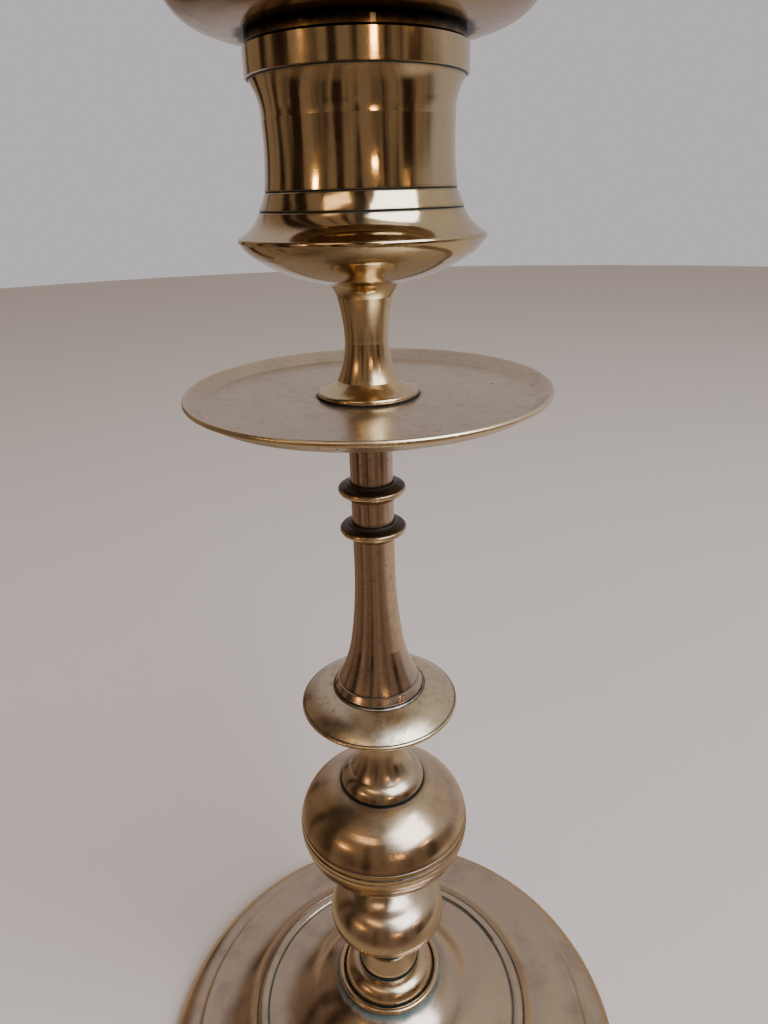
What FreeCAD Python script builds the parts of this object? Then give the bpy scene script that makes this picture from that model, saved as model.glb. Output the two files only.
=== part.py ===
import FreeCAD, Part
import math
import os

import Sketcher

# Altar candlestick in turned brass, millimetres, +Z up, origin at the centre of the foot's resting circle.
# Every turned section has a central bore.  They stand on each other, register by short spigots, and one
# tie rod with a nut at each end pulls the whole stem down on the foot.  The candle nozzle lifts out.

os.makedirs("parts", exist_ok=True)
doc = FreeCAD.newDocument("AltarCandlestick")


# ---------------------------------------------------------------- driving dimensions

DIMENSIONS = {
    # tie rod, the bores it runs in, and the spigots that centre each section on the one below
    "rod_radius": 3.0,
    "bore_clearance": 0.2,
    "spigot_radius": 4.2,
    "spigot_rise": 1.4,
    "spigot_clearance": 0.05,
    "recess_spare": 0.3,
    # small turned details that many sections share; a bow is an arc's radius in lengths of its own chord
    "edge_break": 0.5,
    "base_tuck": 0.6,
    "incised_line": 0.3,
    "round_bow": 0.51,
    # foot: hollow stepped dome
    "foot_radius": 81.6,
    "foot_edge_rise": 2.5,
    "foot_edge_bow": 1.49,
    "foot_face_inset": 1.0,
    "foot_face_width": 4.0,
    "foot_quirk_radius": 71.3,
    "foot_quirk_rise": 9.0,
    "foot_quirk_width": 0.5,
    "foot_quirk_depth": 0.2,
    "foot_ogee_bow": 0.903,
    "foot_ridge_radius": 69.0,
    "foot_ridge_rise": 12.1,
    "foot_ridge_bow": 0.542,
    "foot_slope_bow": 1.02,
    "foot_step_radius": 48.3,
    "foot_step_rise": 21.2,
    "foot_groove_width": 0.45,
    "foot_groove_depth": 0.4,
    "foot_bead_bow": 0.577,
    "foot_bell_radius": 43.6,
    "foot_bell_rise": 22.3,
    "foot_bell_bow": 1.294,
    "foot_neck_radius": 26.5,
    "foot_neck_rise": 30.6,
    "foot_crown_bow": 1.9,
    "foot_top_radius": 16.2,
    "foot_height": 38.2,
    "foot_wall": 3.0,
    "foot_boss_radius": 13.0,
    "foot_boss_depth": 5.0,
    # bead ring on the crown of the foot
    "bead_web": 1.0,
    "bead_radius": 1.05,
    "bead_ring_radius": 17.7,
    # cushion boss
    "cushion_radius": 15.25,
    "cushion_base_radius": 14.3,
    "cushion_edge_rise": 1.2,
    "cushion_edge_bow": 1.04,
    "cushion_bow": 0.797,
    "cushion_top_radius": 10.1,
    "cushion_height": 5.6,
    # neck collar
    "collar_radius": 9.9,
    "collar_base_radius": 8.9,
    "collar_edge_rise": 1.5,
    "collar_bow": 1.0,
    "collar_top_radius": 8.2,
    "collar_height": 7.0,
    # lower knop: a bell with its mouth down
    "knop_foot_radius": 7.0,
    "knop_bell_bow": 1.203,
    "knop_lip": 0.9,
    "knop_lip_drop": 0.6,
    "knop_lip_bow": 0.74,
    "knop_radius": 18.67,
    "knop_rim_rise": 17.4,
    "knop_shoulder_bow": 0.893,
    "knop_shoulder_radius": 12.4,
    "knop_shoulder_rise": 28.0,
    "knop_neck_bow": 1.614,
    "knop_neck_radius": 6.6,
    "knop_neck_land": 0.7,
    "knop_height": 34.2,
    # short neck under the ball
    "throat_radius": 6.3,
    "throat_flare_radius": 7.6,
    "throat_bow": 3.57,
    "throat_height": 8.3,
    # ball: an oval of two arcs a side, cast as two hollow halves that meet in the middle groove
    "ball_radius": 25.8,
    "ball_side_radius": 14.5,
    "ball_rise": 18.2,
    "ball_drop": 17.0,
    "ball_wall": 2.2,
    "ball_foot_radius": 8.0,
    "ball_crown_radius": 12.2,
    "ball_seam_rise": 1.5,
    "ball_lip": 1.2,
    "ball_groove": 0.35,
    "ball_groove_half_width": 0.42,
    "ball_groove_pitch": 1.7,
    "ball_boss_depth": 3.0,
    # spool on the ball
    "spool_foot_radius": 12.47,
    "spool_foot_rise": 0.8,
    "spool_foot_bow": 0.8,
    "spool_bead_bow": 1.228,
    "spool_cove_radius": 9.4,
    "spool_cove_rise": 4.6,
    "spool_cove_bow": 1.564,
    "spool_neck_radius": 6.3,
    "spool_neck_rise": 13.0,
    "spool_neck_bow": 3.96,
    "spool_top_radius": 8.4,
    "spool_height": 28.0,
    # bell flange
    "flange_radius": 22.3,
    "flange_edge": 0.7,
    "flange_rim_rise": 1.9,
    "flange_bow": 1.634,
    "flange_hub_radius": 12.9,
    "flange_height": 7.5,
    # trumpet stem
    "trumpet_foot_radius": 12.4,
    "trumpet_bead_radius": 11.1,
    "trumpet_bead_rise": 2.3,
    "trumpet_flare_bow": 3.75,
    "trumpet_mid_radius": 7.4,
    "trumpet_mid_rise": 13.5,
    "trumpet_taper_bow": 6.26,
    "trumpet_neck": 7.8,
    "trumpet_height": 46.3,
    "stem_radius": 5.4,
    # stem rings, the spacer between them and the upper stem
    "ring_radius": 8.6,
    "ring_lip_radius": 6.3,
    "ring_lip_height": 0.9,
    "ring_belly_rise": 1.3,
    "ring_belly_bow": 0.738,
    "ring_edge_step": 0.9,
    "ring_edge_rise": 2.4,
    "ring_edge_bow": 0.844,
    "ring_height": 4.2,
    "spacer_height": 6.7,
    "upper_stem_height": 21.1,
    # drip pan
    "pan_radius": 43.36,
    "pan_thickness": 1.0,
    "pan_flat_radius": 39.4,
    "pan_rim_rise": 3.4,
    "pan_rim_bead": 0.7,
    # spool between pan and socket
    "waist_foot_radius": 12.1,
    "waist_foot_rise": 0.8,
    "waist_foot_bow": 0.9,
    "waist_bead_step": 1.0,
    "waist_bead_bow": 0.703,
    "waist_cove_bow": 2.01,
    "waist_cove_radius": 7.2,
    "waist_cove_rise": 3.8,
    "waist_stem_bow": 2.458,
    "waist_radius": 5.1,
    "waist_rise": 12.5,
    "waist_flare_bow": 3.923,
    "waist_flare_radius": 6.5,
    "waist_flare_rise": 22.6,
    "waist_top_bow": 1.0,
    "waist_top_radius": 10.8,
    "waist_height": 26.2,
    # candle socket: bowl, cove and band; each wall is measured out from the bore, and the plug sets the bore
    "socket_bowl_bow": 2.62,
    "socket_bowl_wall": 5.7,
    "socket_bowl_rise": 4.7,
    "socket_edge_bow": 1.9,
    "socket_edge_wall": 9.55,
    "socket_edge_rise": 8.3,
    "socket_lip": 1.25,
    "socket_lip_fall": 0.25,
    "socket_lip_bow": 0.58,
    "socket_cove_bow": 1.5,
    "socket_line_low_wall": 4.87,
    "socket_line_low_rise": 14.5,
    "socket_fillet_bow": 5.9,
    "socket_line_high_wall": 3.4,
    "socket_line_high_rise": 18.2,
    "socket_barrel_bow": 4.72,
    "socket_waist_wall": 2.8,
    "socket_waist_rise": 31.2,
    "socket_flare_bow": 1.435,
    "socket_band_step": 0.6,
    "socket_band_wall": 5.4,
    "socket_band_rise": 38.8,
    "socket_height": 44.3,
    "socket_floor": 6.4,
    # fastenings of the tie rod
    "washer_radius": 10.0,
    "washer_height": 1.6,
    "nut_flats": 10.0,
    "nut_height": 5.0,
    "nut_chamfer": 0.9,
    "rod_overhang": 2.5,
    # candle nozzle: dish, plug skirt that drops into the socket, and candle cup; the dish is measured out
    # from its seat on the socket's mouth
    "nozzle_seat_inset": 0.7,
    "nozzle_seat_height": 1.9,
    "dish_rim_width": 15.1,
    "dish_bowl_bow": 2.6,
    "dish_bowl_width": 9.1,
    "dish_bowl_rise": 3.5,
    "dish_rim_bow": 1.177,
    "dish_inner_rim_bow": 1.31,
    "dish_rim_rise": 9.6,
    "dish_wall": 1.4,
    "plug_clearance": 1.2,
    "plug_wall": 1.8,
    "plug_gap": 1.2,
    "plug_depth": 24.0,
    "candle_radius": 11.2,
    "candle_wall": 1.8,
    "cup_drop": 10.0,
    "cup_rise": 24.0,
    "cup_lip": 1.1,
    "cup_floor": 2.0,
}

sheet = doc.addObject("Spreadsheet::Sheet", "Sizes")
for row, (alias, number) in enumerate(DIMENSIONS.items(), start=1):
    sheet.set("A%d" % row, alias)
    sheet.set("B%d" % row, "%g" % number)
    sheet.setAlias("B%d" % row, alias)
doc.recompute()


class Size:
    """A length that keeps both its number and the sheet expression that drives it."""

    def __init__(self, number, text):
        self.number = float(number)
        self.text = text

    @staticmethod
    def of(other):
        return other if isinstance(other, Size) else Size(other, "%g" % other)

    def joined(self, other, sign, number):
        return Size(number, "(%s %s %s)" % (self.text, sign, Size.of(other).text))

    def __add__(self, other):
        return self.joined(other, "+", self.number + Size.of(other).number)

    def __sub__(self, other):
        return self.joined(other, "-", self.number - Size.of(other).number)

    def __mul__(self, other):
        return self.joined(other, "*", self.number * Size.of(other).number)

    def __truediv__(self, other):
        return self.joined(other, "/", self.number / Size.of(other).number)

    def root(self):
        return Size(math.sqrt(self.number), "sqrt(%s)" % self.text)


class Sheet:
    """Reads a named size from the spreadsheet as a Size."""

    def __getattr__(self, alias):
        return Size(sheet.get(alias), "Sizes." + alias)


size = Sheet()
zero = Size(0, "0")
bore = size.rod_radius + size.bore_clearance
recess = size.spigot_radius + size.spigot_clearance
recess_depth = size.spigot_rise + size.recess_spare
cup_radius = size.candle_radius + size.candle_wall
plug_radius = cup_radius + size.plug_gap + size.plug_wall
socket_bore = plug_radius + size.plug_clearance


# ---------------------------------------------------------------- sketching helpers

def plane_of(body, role):
    return next(item for item in body.Origin.OriginFeatures if item.Role == role)


class Outline:
    """A closed outline of straight runs and arcs, in radius and height, for a turned shape."""

    def __init__(self, radius, height):
        self.points = [(radius, height)]
        self.bends = []

    def line(self, radius, height):
        self.points.append((Size.of(radius), Size.of(height)))
        self.bends.append(None)
        return self

    def arc(self, radius, height, bend):
        """Arc to the next point; a positive bend turns left along the way, a negative one right."""
        self.points.append((Size.of(radius), Size.of(height)))
        self.bends.append(bend)
        return self

    def bow(self, radius, height, share):
        """Arc to the next point whose radius is a share of its own chord, so that it reaches at any size."""
        radius, height = Size.of(radius), Size.of(height)
        across = radius - self.points[-1][0]
        along = height - self.points[-1][1]
        return self.arc(radius, height, share * (across * across + along * along).root())

    def edge(self, start, end, bend):
        """Geometry from start to end, and which of its ends lie at start and at end."""
        first = FreeCAD.Vector(start[0].number, start[1].number, 0)
        last = FreeCAD.Vector(end[0].number, end[1].number, 0)
        if bend is None:
            return Part.LineSegment(first, last), 1, 2
        turn = 1 if bend.number > 0 else -1
        radius = abs(bend.number)
        chord = last - first
        rise = math.sqrt(radius ** 2 - (chord.Length / 2) ** 2)
        side = FreeCAD.Vector(-chord.y, chord.x, 0).normalize() * turn
        centre = first + chord * 0.5 + side * rise
        angles = [math.atan2(p.y - centre.y, p.x - centre.x) for p in (first, last)]
        circle = Part.Circle(centre, FreeCAD.Vector(0, 0, 1), radius)
        if turn > 0:
            return Part.ArcOfCircle(circle, angles[0], angles[1]), 1, 2
        return Part.ArcOfCircle(circle, angles[1], angles[0]), 2, 1

    def draw(self, body, name):
        sketch = body.newObject("Sketcher::SketchObject", name)
        sketch.AttachmentSupport = (plane_of(body, "XZ_Plane"), [""])
        sketch.MapMode = "FlatFace"
        corners = self.points + [self.points[0]]
        bends = self.bends + [None]
        ends = []
        for start, end, bend in zip(corners, corners[1:], bends):
            geometry, head, tail = self.edge(start, end, bend)
            ends.append((sketch.addGeometry(geometry, False), head, tail))
        bound = []
        for index, (here, place) in enumerate(zip(ends, self.points)):
            before = ends[index - 1]
            sketch.addConstraint(Sketcher.Constraint("Coincident", before[0], before[2], here[0], here[1]))
            for kind, value in zip(("DistanceX", "DistanceY"), place):
                if value.text == "0":
                    axis = -2 if kind == "DistanceX" else -1
                    sketch.addConstraint(Sketcher.Constraint("PointOnObject", here[0], here[1], axis))
                    continue
                rule = Sketcher.Constraint(kind, -1, 1, here[0], here[1], value.number)
                bound.append((sketch.addConstraint(rule), value.text))
            if bends[index] is not None:
                radius = abs(bends[index].number)
                rule = sketch.addConstraint(Sketcher.Constraint("Radius", here[0], radius))
                sign = "" if bends[index].number > 0 else "-1 * "
                bound.append((rule, sign + bends[index].text))
        for rule, text in bound:
            sketch.setExpression("Constraints[%d]" % rule, text)
        return sketch


def left(bend):
    return bend


def right(bend):
    return bend * -1


def seated(piece, height):
    if height.text != "0":
        piece.setExpression(".Placement.Base.z", height.text)


def turned(name, height, outline):
    """A body made by turning one outline about the stem's axis."""
    body = doc.addObject("PartDesign::Body", name)
    sketch = outline.draw(body, name + "_outline")
    turn = body.newObject("PartDesign::Revolution", name + "_turned")
    turn.Profile = sketch
    turn.ReferenceAxis = (sketch, ["V_Axis"])
    turn.Angle = 360.0
    sketch.Visibility = False
    seated(body, height)
    return body


def groove(body, name, outline):
    """Turns a groove or a bore out of a body."""
    doc.recompute()
    before = body.Shape.Volume
    sketch = outline.draw(body, name + "_outline")
    cut = body.newObject("PartDesign::Groove", name)
    cut.Profile = sketch
    cut.ReferenceAxis = (sketch, ["V_Axis"])
    cut.Angle = 360.0
    doc.recompute()
    if body.Shape.Volume >= before:
        raise RuntimeError(name + " cuts nothing")


def section(name, height, rise, skin, spigot=size.spigot_rise):
    """A stem section: skin draws the outside from its foot to its top, the rest is bore and spigot."""
    outline = Outline(recess, zero)
    skin(outline)
    outline.line(size.spigot_radius, rise)
    outline.line(size.spigot_radius, rise + spigot)
    outline.line(bore, rise + spigot)
    outline.line(bore, recess_depth)
    outline.line(recess, recess_depth)
    return turned(name, height, outline)


pieces = []


def stacked(body, height, rise):
    """Adds a finished piece to the stem and returns the height that the next one stands at."""
    pieces.append(body)
    return height + rise


# ---------------------------------------------------------------- foot

foot_inner = size.foot_radius - size.foot_face_inset - size.foot_face_width
ridge_half = size.foot_quirk_radius - size.foot_ridge_radius
foot_outline = Outline(foot_inner, zero)
foot_outline.line(size.foot_radius - size.foot_face_inset, zero)
foot_outline.bow(size.foot_radius, size.foot_edge_rise, left(size.foot_edge_bow))
foot_outline.bow(size.foot_quirk_radius, size.foot_quirk_rise, left(size.foot_ogee_bow))
foot_outline.line(size.foot_quirk_radius - size.foot_quirk_width,
                  size.foot_quirk_rise - size.foot_quirk_depth)
foot_outline.bow(size.foot_ridge_radius - ridge_half / 2, size.foot_ridge_rise, left(size.foot_ridge_bow))
foot_outline.bow(size.foot_step_radius, size.foot_step_rise, right(size.foot_slope_bow))
foot_outline.line(size.foot_step_radius - size.foot_groove_width,
                  size.foot_step_rise - size.foot_groove_depth)
foot_outline.bow(size.foot_bell_radius + size.foot_groove_width * 2, size.foot_bell_rise,
                 left(size.foot_bead_bow))
foot_outline.line(size.foot_bell_radius + size.foot_groove_width,
                  size.foot_bell_rise - size.foot_groove_depth)
foot_outline.line(size.foot_bell_radius, size.foot_bell_rise)
foot_outline.bow(size.foot_neck_radius, size.foot_neck_rise, right(size.foot_bell_bow))
foot_outline.bow(size.foot_top_radius, size.foot_height - size.edge_break, left(size.foot_crown_bow))
foot_outline.line(size.foot_top_radius - size.edge_break, size.foot_height)
foot_outline.line(size.spigot_radius, size.foot_height)
foot_outline.line(size.spigot_radius, size.foot_height + size.bead_web + size.spigot_rise)
foot_outline.line(bore, size.foot_height + size.bead_web + size.spigot_rise)
foot_outline.line(bore, size.foot_height - size.foot_boss_depth)
foot_outline.line(size.foot_boss_radius, size.foot_height - size.foot_boss_depth)
foot_outline.line(size.foot_neck_radius, size.foot_neck_rise - size.foot_wall)
foot_outline.bow(size.foot_bell_radius, size.foot_bell_rise - size.foot_wall, left(size.foot_bell_bow))
foot_outline.line(size.foot_step_radius, size.foot_step_rise - size.foot_wall)
foot_outline.bow(size.foot_ridge_radius, size.foot_ridge_rise - size.foot_wall, left(size.foot_slope_bow))
foot_outline.line(foot_inner, size.foot_edge_rise)
seat = stacked(turned("foot", zero, foot_outline), zero, size.foot_height)

# ---------------------------------------------------------------- bead ring and cushion boss

bead_centre = size.bead_ring_radius - size.bead_radius
bead_outline = Outline(recess, zero)
bead_outline.line(bead_centre, zero)
bead_outline.arc(size.bead_ring_radius, size.bead_radius, left(size.bead_radius))
bead_outline.arc(bead_centre, size.bead_radius * 2, left(size.bead_radius))
bead_outline.arc(bead_centre - size.bead_radius, size.bead_radius, left(size.bead_radius))
bead_outline.line(bead_centre - size.bead_radius, size.bead_web)
bead_outline.line(recess, size.bead_web)
seat = stacked(turned("crown_bead_ring", seat, bead_outline), seat, size.bead_web)


def cushion_skin(outline):
    outline.line(size.cushion_base_radius, zero)
    outline.bow(size.cushion_radius, size.cushion_edge_rise, left(size.cushion_edge_bow))
    outline.bow(size.cushion_top_radius, size.cushion_height, left(size.cushion_bow))


seat = stacked(section("cushion_boss", seat, size.cushion_height, cushion_skin), seat, size.cushion_height)

# ---------------------------------------------------------------- collar, lower knop and throat


def collar_skin(outline):
    outline.line(size.collar_base_radius, zero)
    outline.bow(size.collar_radius, size.collar_edge_rise, left(size.collar_bow))
    outline.line(size.collar_top_radius, size.collar_height)


seat = stacked(section("neck_collar", seat, size.collar_height, collar_skin), seat, size.collar_height)


def knop_skin(outline):
    outline.line(size.knop_foot_radius, zero)
    outline.bow(size.knop_radius - size.knop_lip, size.knop_rim_rise - size.knop_lip_drop,
                right(size.knop_bell_bow))
    outline.bow(size.knop_radius, size.knop_rim_rise, left(size.knop_lip_bow))
    outline.bow(size.knop_shoulder_radius, size.knop_shoulder_rise, left(size.knop_shoulder_bow))
    outline.bow(size.knop_neck_radius, size.knop_height - size.knop_neck_land, right(size.knop_neck_bow))
    outline.line(size.knop_neck_radius, size.knop_height)


seat = stacked(section("lower_knop", seat, size.knop_height, knop_skin), seat, size.knop_height)


def throat_skin(outline):
    outline.line(size.throat_radius, zero)
    outline.bow(size.throat_flare_radius, size.throat_height, right(size.throat_bow))


seat = stacked(section("ball_throat", seat, size.throat_height, throat_skin), seat, size.throat_height)

# ---------------------------------------------------------------- ball


class Oval:
    """Half of the ball's oval: a side arc on the equator, tangent to a crown arc on the axis."""

    def __init__(self, rise):
        self.side = size.ball_side_radius
        self.offset = size.ball_radius - self.side
        spread = self.offset * self.offset + rise * rise - self.side * self.side
        self.crown = spread / ((rise - self.side) * 2)
        self.sunk = self.crown - rise

    def joint(self, wall):
        """Where the side and crown arcs meet, on the skin or a wall's thickness inside it."""
        reach = (self.side - wall) / (self.crown - self.side)
        return self.offset + self.offset * reach, self.sunk * reach

    def crown_rise(self, radius, wall):
        reach = self.crown - wall
        return (reach * reach - radius * radius).root() - self.sunk

    def side_radius(self, rise, wall):
        reach = self.side - wall
        return self.offset + (reach * reach - rise * rise).root()


lower, upper = Oval(size.ball_drop), Oval(size.ball_rise)
equator = lower.crown_rise(size.ball_foot_radius, zero)
seam = equator + size.ball_seam_rise
seam_radius = lower.side_radius(size.ball_seam_rise, zero)
lip_radius = seam_radius - size.ball_wall / 2
nick = size.ball_groove

joint_radius, joint_drop = lower.joint(zero)
inner_radius, inner_drop = lower.joint(size.ball_wall)
lip_rise = size.ball_seam_rise + size.ball_lip
half = Outline(recess, zero)
half.line(size.ball_foot_radius, zero)
half.arc(joint_radius, equator - joint_drop, left(lower.crown))
half.arc(lower.side_radius(size.ball_seam_rise - nick, zero), seam - nick, left(lower.side))
half.line(seam_radius - nick, seam)
half.line(lip_radius, seam)
half.line(lip_radius, seam + size.ball_lip)
half.line(lower.side_radius(lip_rise, size.ball_wall), seam + size.ball_lip)
half.arc(inner_radius, equator - inner_drop, right(lower.side - size.ball_wall))
half.arc(size.ball_foot_radius, equator - lower.crown_rise(size.ball_foot_radius, size.ball_wall),
         right(lower.crown - size.ball_wall))
half.line(bore, size.ball_boss_depth)
half.line(bore, recess_depth)
half.line(recess, recess_depth)
ball_lower = turned("ball_lower_half", seat, half)


def ring_groove(rise, radius):
    """A small V cut round the ball."""
    cut = Outline(radius - nick, rise)
    cut.line(radius + nick, rise - size.ball_groove_half_width)
    cut.line(radius + nick, rise + size.ball_groove_half_width)
    return cut


below = size.ball_seam_rise - size.ball_groove_pitch
groove(ball_lower, "ball_groove_low",
       ring_groove(seam - size.ball_groove_pitch, lower.side_radius(below, zero)))
seat = stacked(ball_lower, seat, seam)

joint_radius, joint_rise = upper.joint(zero)
inner_radius, inner_rise = upper.joint(size.ball_wall)
crown_rise = upper.crown_rise(size.ball_crown_radius, zero) - size.ball_seam_rise
ceiling = upper.crown_rise(size.ball_crown_radius, size.ball_wall) - size.ball_seam_rise
catch_rise = size.ball_lip + size.recess_spare
half = Outline(lip_radius + size.spigot_clearance, zero)
half.line(seam_radius - nick, zero)
half.line(upper.side_radius(size.ball_seam_rise + nick, zero), nick)
half.arc(joint_radius, joint_rise - size.ball_seam_rise, left(upper.side))
half.arc(size.ball_crown_radius, crown_rise, left(upper.crown))
half.line(size.spigot_radius, crown_rise)
half.line(size.spigot_radius, crown_rise + size.spigot_rise)
half.line(bore, crown_rise + size.spigot_rise)
half.line(bore, ceiling)
half.line(size.ball_crown_radius, ceiling)
half.arc(inner_radius, inner_rise - size.ball_seam_rise, right(upper.crown - size.ball_wall))
half.arc(upper.side_radius(size.ball_seam_rise + catch_rise, size.ball_wall), catch_rise,
         right(upper.side - size.ball_wall))
half.line(lip_radius + size.spigot_clearance, catch_rise)
ball_upper = turned("ball_upper_half", seat, half)
above = size.ball_seam_rise + size.ball_groove_pitch
groove(ball_upper, "ball_groove_high", ring_groove(size.ball_groove_pitch, upper.side_radius(above, zero)))
seat = stacked(ball_upper, seat, crown_rise)

# ---------------------------------------------------------------- spool, bell flange and trumpet


def spool_skin(outline):
    outline.line(size.spool_foot_radius - size.base_tuck, zero)
    outline.bow(size.spool_foot_radius, size.spool_foot_rise, left(size.spool_foot_bow))
    outline.bow(size.spool_cove_radius, size.spool_cove_rise, left(size.spool_bead_bow))
    outline.bow(size.spool_neck_radius, size.spool_neck_rise, right(size.spool_cove_bow))
    outline.bow(size.spool_top_radius, size.spool_height, right(size.spool_neck_bow))


seat = stacked(section("ball_spool", seat, size.spool_height, spool_skin), seat, size.spool_height)


def flange_skin(outline):
    outline.line(size.spool_top_radius, zero)
    outline.line(size.flange_radius - size.flange_edge, size.flange_rim_rise - size.flange_edge)
    outline.bow(size.flange_radius - size.flange_edge, size.flange_rim_rise + size.flange_edge,
                left(size.round_bow))
    outline.bow(size.flange_hub_radius, size.flange_height - size.edge_break, left(size.flange_bow))
    outline.line(size.flange_hub_radius - size.edge_break, size.flange_height)


seat = stacked(section("bell_flange", seat, size.flange_height, flange_skin), seat, size.flange_height)


def trumpet_skin(outline):
    line = size.incised_line
    outline.line(size.trumpet_foot_radius - line, zero)
    outline.line(size.trumpet_foot_radius, line)
    outline.line(size.trumpet_bead_radius + line, size.trumpet_bead_rise - line)
    outline.line(size.trumpet_bead_radius - line, size.trumpet_bead_rise)
    outline.line(size.trumpet_bead_radius, size.trumpet_bead_rise + line)
    outline.bow(size.trumpet_mid_radius, size.trumpet_mid_rise, right(size.trumpet_flare_bow))
    outline.bow(size.stem_radius, size.trumpet_height - size.trumpet_neck, right(size.trumpet_taper_bow))
    outline.line(size.stem_radius, size.trumpet_height)


ring_spigot = size.ring_height + size.spigot_rise
seat = stacked(section("trumpet_stem", seat, size.trumpet_height, trumpet_skin, ring_spigot),
               seat, size.trumpet_height)

# ---------------------------------------------------------------- rings, spacer and upper stem


def stem_ring(name, height):
    """A collar slipped over a spigot: narrow lip, rounded rim and a top face that falls outwards."""
    outline = Outline(recess, zero)
    outline.line(size.ring_lip_radius, zero)
    outline.line(size.ring_lip_radius, size.ring_lip_height)
    outline.bow(size.ring_radius, size.ring_lip_height + size.ring_belly_rise, left(size.ring_belly_bow))
    outline.bow(size.ring_radius - size.ring_edge_step, size.ring_lip_height + size.ring_edge_rise,
                left(size.ring_edge_bow))
    outline.line(size.ring_lip_radius, size.ring_height - size.edge_break)
    outline.line(size.ring_lip_radius - size.edge_break, size.ring_height)
    outline.line(recess, size.ring_height)
    return turned(name, height, outline)


seat = stacked(stem_ring("lower_stem_ring", seat), seat, size.ring_height)


def spacer_skin(outline):
    outline.line(size.stem_radius, zero)
    outline.line(size.stem_radius, size.spacer_height)


seat = stacked(section("ring_spacer", seat, size.spacer_height, spacer_skin, ring_spigot),
               seat, size.spacer_height)
seat = stacked(stem_ring("upper_stem_ring", seat), seat, size.ring_height)


def upper_stem_skin(outline):
    outline.line(size.stem_radius, zero)
    outline.line(size.stem_radius, size.upper_stem_height)


seat = stacked(section("upper_stem", seat, size.upper_stem_height, upper_stem_skin,
                       size.pan_thickness + size.spigot_rise), seat, size.upper_stem_height)

# ---------------------------------------------------------------- drip pan

rim = size.pan_rim_bead
pan_outline = Outline(recess, zero)
pan_outline.line(size.pan_flat_radius, zero)
pan_outline.line(size.pan_radius - rim, size.pan_rim_rise - rim * 2)
pan_outline.bow(size.pan_radius - rim, size.pan_rim_rise, left(size.round_bow))
pan_outline.line(size.pan_flat_radius, size.pan_thickness)
pan_outline.line(recess, size.pan_thickness)
seat = stacked(turned("drip_pan", seat, pan_outline), seat, size.pan_thickness)

# ---------------------------------------------------------------- waist spool and candle socket


def waist_skin(outline):
    outline.line(size.waist_foot_radius - size.base_tuck, zero)
    outline.bow(size.waist_foot_radius, size.waist_foot_rise, left(size.waist_foot_bow))
    outline.bow(size.waist_foot_radius - size.waist_bead_step, size.waist_foot_rise * 2,
                left(size.waist_bead_bow))
    outline.bow(size.waist_cove_radius, size.waist_cove_rise, right(size.waist_cove_bow))
    outline.bow(size.waist_radius, size.waist_rise, right(size.waist_stem_bow))
    outline.bow(size.waist_flare_radius, size.waist_flare_rise, right(size.waist_flare_bow))
    outline.bow(size.waist_top_radius, size.waist_height, right(size.waist_top_bow))


seat = stacked(section("waist_spool", seat, size.waist_height, waist_skin), seat, size.waist_height)

line = size.incised_line
band_step = size.socket_band_step
low_radius = socket_bore + size.socket_line_low_wall
high_radius = socket_bore + size.socket_line_high_wall
band_radius = socket_bore + size.socket_band_wall
socket_outline = Outline(recess, zero)
socket_outline.line(size.waist_top_radius, zero)
socket_outline.bow(socket_bore + size.socket_bowl_wall, size.socket_bowl_rise, left(size.socket_bowl_bow))
edge_radius = socket_bore + size.socket_edge_wall
socket_outline.bow(edge_radius, size.socket_edge_rise, left(size.socket_edge_bow))
socket_outline.bow(edge_radius - size.socket_lip_fall, size.socket_edge_rise + size.socket_lip,
                   left(size.socket_lip_bow))
socket_outline.bow(low_radius, size.socket_line_low_rise - line, right(size.socket_cove_bow))
socket_outline.line(low_radius - line, size.socket_line_low_rise)
socket_outline.line(low_radius - line / 3, size.socket_line_low_rise + line)
socket_outline.bow(high_radius, size.socket_line_high_rise - line, right(size.socket_fillet_bow))
socket_outline.line(high_radius - line, size.socket_line_high_rise)
socket_outline.line(high_radius - line / 3, size.socket_line_high_rise + line)
socket_outline.bow(socket_bore + size.socket_waist_wall, size.socket_waist_rise,
                   right(size.socket_barrel_bow))
socket_outline.bow(band_radius - band_step, size.socket_band_rise - band_step / 3,
                   right(size.socket_flare_bow))
socket_outline.line(band_radius, size.socket_band_rise)
socket_outline.line(band_radius, size.socket_height - size.edge_break)
socket_outline.line(band_radius - size.edge_break, size.socket_height)
socket_outline.line(socket_bore, size.socket_height)
socket_outline.line(socket_bore, size.socket_floor)
socket_outline.line(bore, size.socket_floor)
socket_outline.line(bore, recess_depth)
socket_outline.line(recess, recess_depth)
socket = turned("candle_socket", seat, socket_outline)
pieces.append(socket)
socket_seat = seat

# ---------------------------------------------------------------- tie rod, washers and nuts


def washer(name, place):
    outline = Outline(bore, zero)
    outline.line(size.washer_radius, zero)
    outline.line(size.washer_radius, size.washer_height)
    outline.line(bore, size.washer_height)
    pieces.append(turned(name, place, outline))


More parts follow.
